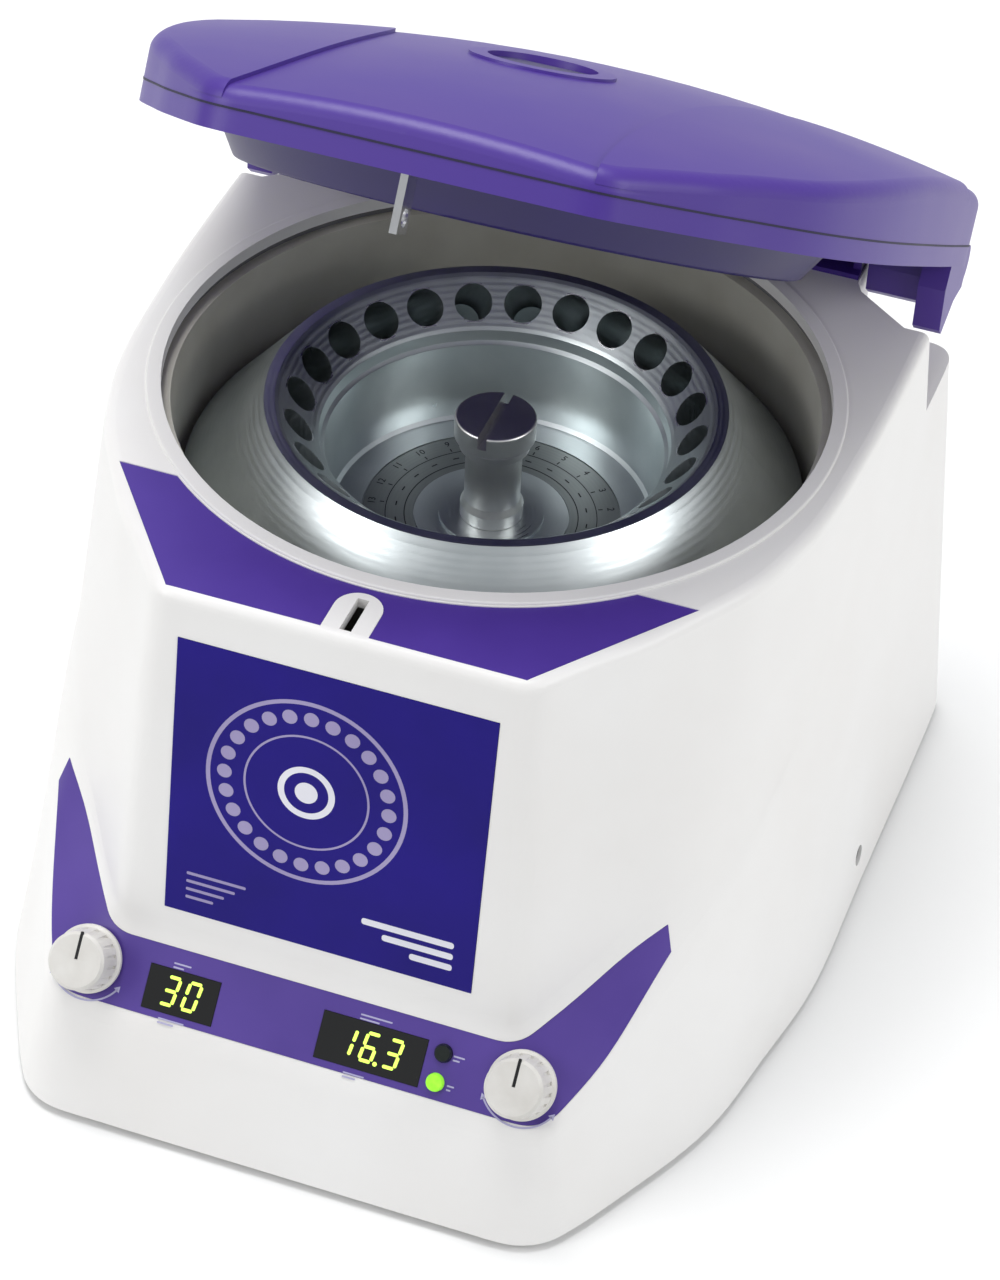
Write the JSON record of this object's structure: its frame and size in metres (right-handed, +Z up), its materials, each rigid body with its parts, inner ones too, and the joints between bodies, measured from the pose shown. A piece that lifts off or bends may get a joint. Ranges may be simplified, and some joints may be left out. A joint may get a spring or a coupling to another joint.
{
  "type": "benchtop microcentrifuge",
  "caption": "Benchtop microcentrifuge with a hinged purple lid, fixed-angle aluminium rotor in a steel bowl, two digital displays and two push-and-turn knobs.",
  "frame": {"origin": "middle of the overall box's underside, at the level of the feet, with the lid open as pictured", "axes": "+Z up, -Y towards the controls and display side, +X to the right seen from the front"},
  "size_m": [0.2392, 0.2832, 0.2899],
  "materials": {
    "white_abs": "fine moulded texture, satin",
    "purple_lid_plastic": "moulded, soft gloss",
    "purple_liner_plastic": "thermoformed, satin",
    "purple_trim": "printed film, satin",
    "violet_badge_film": "printed film, gloss",
    "knob_nylon": "moulded, satin",
    "display_acrylic": "smoked, polished",
    "display_block": "moulded, lit digits",
    "led_dark": "unlit lens",
    "led_green": "lit lens",
    "machined_aluminium": "turned and polished",
    "grey_label": "printed film",
    "polished_chrome": "polished",
    "satin_steel": "spun, satin",
    "zinc_steel": "zinc plated",
    "black_rubber": "moulded, matt",
    "grey_silicone": "moulded, matt",
    "pan_steel": "powder coated",
    "motor_casting": "die cast",
    "laminations": "varnished",
    "board_laminate": "green solder mask",
    "capacitor_sleeve": "shrunk sleeve",
    "black_nylon": "moulded, satin",
    "coil_tape": "wound tape"
  },
  "bodies": {
    "housing": {"base_pan": "pan_steel", "feet": "black_rubber", "case_screws": "zinc_steel", "housing_shell": "white_abs", "deck_inlay": "purple_trim", "control_overlay": "purple_trim", "badge_panel": "violet_badge_film", "chamber_bowl": "satin_steel", "bowl_gasket": "grey_silicone", "shaft_boot": "black_rubber", "motor_plate": "zinc_steel", "motor_isolators": "black_rubber", "motor_stator": "laminations", "end_bell_upper": "motor_casting", "end_bell_lower": "motor_casting", "motor_bearings": "polished_chrome", "main_board": "board_laminate", "transformer": "laminations", "capacitors": "capacitor_sleeve", "board_standoffs": "black_nylon", "control_board": "board_laminate", "time_display": "display_block", "speed_display": "display_block", "display_windows": "display_acrylic", "standby_led": "led_dark", "run_led": "led_green", "time_encoder": "black_nylon", "speed_encoder": "black_nylon", "latch_frame": "zinc_steel", "latch_solenoid": "coil_tape", "lid_switch": "black_nylon", "hinge_bracket_left": "purple_lid_plastic", "hinge_bracket_right": "purple_lid_plastic", "hinge_pins": "zinc_steel", "power_inlet": "black_nylon", "motor_cable": "black_rubber"},
    "rotor": {"drive_spindle": "zinc_steel", "motor_rotor": "laminations", "rotor_body": "machined_aluminium", "rotor_label_ring": "grey_label"},
    "nut": {"rotor_nut": "polished_chrome"},
    "lid": {"lid_shell": "purple_lid_plastic", "lid_frame": "purple_lid_plastic", "lid_liner": "purple_liner_plastic", "lid_seal": "grey_silicone", "lid_port": "purple_lid_plastic", "liner_window": "purple_liner_plastic", "latch_striker": "polished_chrome", "lid_screws": "zinc_steel"},
    "hook": {"latch_hook": "zinc_steel"},
    "plunger": {"latch_plunger": "zinc_steel"},
    "release": {"release_button": "black_nylon"},
    "drawer": {"fuse_drawer": "black_nylon"},
    "rocker": {"power_switch": "black_nylon"},
    "time_push": {"time_push_carrier": "black_nylon"},
    "speed_push": {"speed_push_carrier": "black_nylon"},
    "time_dial": {"time_shaft": "zinc_steel", "time_knob": "knob_nylon"},
    "speed_dial": {"speed_shaft": "zinc_steel", "speed_knob": "knob_nylon"}
  },
  "joints": [
    {"name": "lid_hinge", "type": "hinge", "parent": "housing", "child": "lid", "pos_m": [0, 0.1232, 0.1627], "axis": [-1, 0, 0], "range_deg": [-32.2, 50]},
    {"name": "rotor_spin", "type": "hinge", "parent": "housing", "child": "rotor", "pos_m": [0, 0.0198, 0.1125], "axis": [0, 0, 1], "continuous": true},
    {"name": "rotor_nut_turn", "type": "hinge", "parent": "rotor", "child": "nut", "pos_m": [0, 0.0198, 0.1325], "axis": [0, 0, 1], "continuous": true},
    {"name": "time_push", "type": "slide", "parent": "housing", "child": "time_push", "axis": [0, 0.7699, -0.6382], "range_m": [0, 0.0006], "stiffness_N_per_m": 1500, "springref_m": -0.0006},
    {"name": "time_turn", "type": "hinge", "parent": "time_push", "child": "time_dial", "pos_m": [-0.0625, -0.12131, 0.04392], "axis": [0, -0.7699, 0.6382], "continuous": true},
    {"name": "speed_push", "type": "slide", "parent": "housing", "child": "speed_push", "axis": [0, 0.7699, -0.6382], "range_m": [0, 0.0006], "stiffness_N_per_m": 1500, "springref_m": -0.0006},
    {"name": "speed_turn", "type": "hinge", "parent": "speed_push", "child": "speed_dial", "pos_m": [0.0625, -0.12131, 0.04392], "axis": [0, -0.7699, 0.6382], "continuous": true},
    {"name": "plunger_slide", "type": "slide", "parent": "housing", "child": "plunger", "axis": [1, 0, 0], "range_m": [0, 0.0037], "stiffness_N_per_m": 150, "springref_m": -0.002},
    {"name": "hook_swing", "type": "hinge", "parent": "housing", "child": "hook", "pos_m": [0.011, -0.0886, 0.1415], "axis": [0, -1, 0], "range_deg": [0, 18]},
    {"name": "release_press", "type": "slide", "parent": "housing", "child": "release", "axis": [-1, 0, 0], "range_m": [0, 0.003], "stiffness_N_per_m": 300, "springref_m": -0.002},
    {"name": "fuse_drawer_slide", "type": "slide", "parent": "housing", "child": "drawer", "axis": [0, 1, 0], "range_m": [0, 0.018]},
    {"name": "power_rocker", "type": "hinge", "parent": "housing", "child": "rocker", "pos_m": [-0.031, 0.1178, 0.0365], "axis": [-1, 0, 0], "range_deg": [0, 16]}
  ],
  "couplings": [
    {"joint": "hook_swing", "follows": "plunger_slide", "rad_per_m": 84.72}
  ]
}
